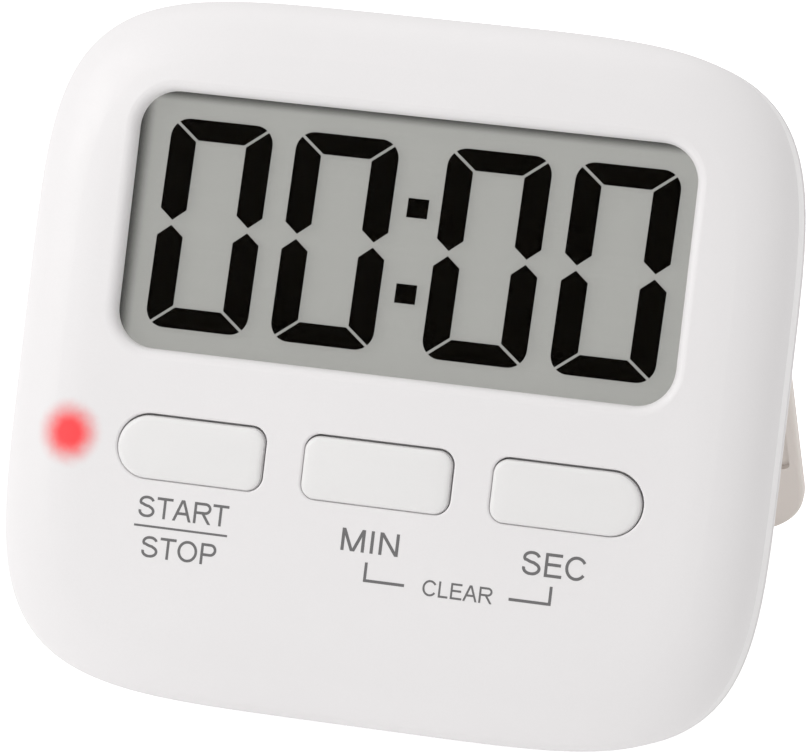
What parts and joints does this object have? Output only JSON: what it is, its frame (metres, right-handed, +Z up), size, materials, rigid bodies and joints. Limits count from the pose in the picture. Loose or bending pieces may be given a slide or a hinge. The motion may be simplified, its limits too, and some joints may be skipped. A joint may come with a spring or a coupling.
{
  "type": "lab timer",
  "caption": "Digital bench timer: white two-part case, large digit display, press keys, glowing lamp and a folding rear stand.",
  "frame": {"origin": "middle of the footprint on the table, with the timer leaning back on its open stand", "axes": "+X to the right along the face, +Z up, -Y towards the user"},
  "size_m": [0.0806, 0.062, 0.0697],
  "materials": {
    "case_white": "fine satin moulded ABS",
    "key_white": "satin moulded ABS",
    "stand_white": "satin moulded ABS",
    "door_white": "satin moulded ABS",
    "lcd_glass": "clear",
    "polariser_film": "fine anti-glare",
    "lcd_ink": "dark liquid crystal",
    "reflector_film": "brushed silver grey",
    "frame_black": "moulded",
    "contact_rubber": "matt silicone",
    "pcb_green": "solder mask",
    "resin_black": "poured resin",
    "steel": "plated",
    "bright_metal": "nickel plated",
    "smd_brown": "ceramic",
    "lamp_red": "diffused epoxy",
    "switch_black": "moulded",
    "plunger_white": "moulded",
    "brass_disc": "rolled",
    "lead_red": "insulation",
    "lead_black": "insulation",
    "cell_wrap": "printed sleeve"
  },
  "bodies": {
    "case": {"front_shell": "case_white", "rear_shell": "case_white", "lcd_front_polariser": "polariser_film", "lcd_front_glass": "lcd_glass", "lcd_segments": "lcd_ink", "lcd_rear_glass": "lcd_glass", "lcd_reflector": "reflector_film", "lcd_frame": "frame_black", "zebra_strip": "contact_rubber", "main_pcb": "pcb_green", "chip_glob": "resin_black", "crystal_can": "bright_metal", "smd_parts": "smd_brown", "indicator_lamp": "lamp_red", "key_switches": "switch_black", "power_switch_case": "steel", "mode_switch_case": "steel", "buzzer_case": "frame_black", "piezo_disc": "brass_disc", "buzzer_leads": "lead_black", "battery_cell_upper": "cell_wrap", "battery_cell_lower": "cell_wrap", "contact_plates": "bright_metal", "contact_springs": "bright_metal", "battery_lead_red": "lead_red", "battery_lead_black": "lead_black", "magnets": "bright_metal", "case_screws": "steel", "pcb_screws": "steel"},
    "start_stop": {"start_stop_key": "key_white", "start_stop_plunger": "plunger_white"},
    "min": {"min_key": "key_white", "min_plunger": "plunger_white"},
    "sec": {"sec_key": "key_white", "sec_plunger": "plunger_white"},
    "power_knob": {"power_switch_knob": "switch_black"},
    "mode_knob": {"mode_switch_knob": "switch_black"},
    "door": {"battery_door": "door_white"},
    "stand": {"stand": "stand_white"}
  },
  "joints": [
    {"name": "start_stop_press", "type": "slide", "parent": "case", "child": "start_stop", "axis": [0, 0.8886, -0.4587], "range_m": [0, 0.0004], "stiffness_N_per_m": 30, "springref_m": -0.0003},
    {"name": "min_press", "type": "slide", "parent": "case", "child": "min", "axis": [0, 0.8886, -0.4587], "range_m": [0, 0.0004], "stiffness_N_per_m": 30, "springref_m": -0.0003},
    {"name": "sec_press", "type": "slide", "parent": "case", "child": "sec", "axis": [0, 0.8886, -0.4587], "range_m": [0, 0.0004], "stiffness_N_per_m": 30, "springref_m": -0.0003},
    {"name": "stand_fold", "type": "hinge", "parent": "case", "child": "stand", "pos_m": [0, 0.00761, 0.04267], "axis": [-1, 0, 0], "range_deg": [0, 54.62]},
    {"name": "battery_door_open", "type": "hinge", "parent": "case", "child": "door", "pos_m": [0, -0.01318, 0.00479], "axis": [-1, 0, 0], "range_deg": [0, 75]},
    {"name": "power_switch_slide", "type": "slide", "parent": "case", "child": "power_knob", "axis": [1, 0, 0], "range_m": [-0.002, 0]},
    {"name": "mode_switch_slide", "type": "slide", "parent": "case", "child": "mode_knob", "axis": [1, 0, 0], "range_m": [-0.002, 0.002]}
  ]
}
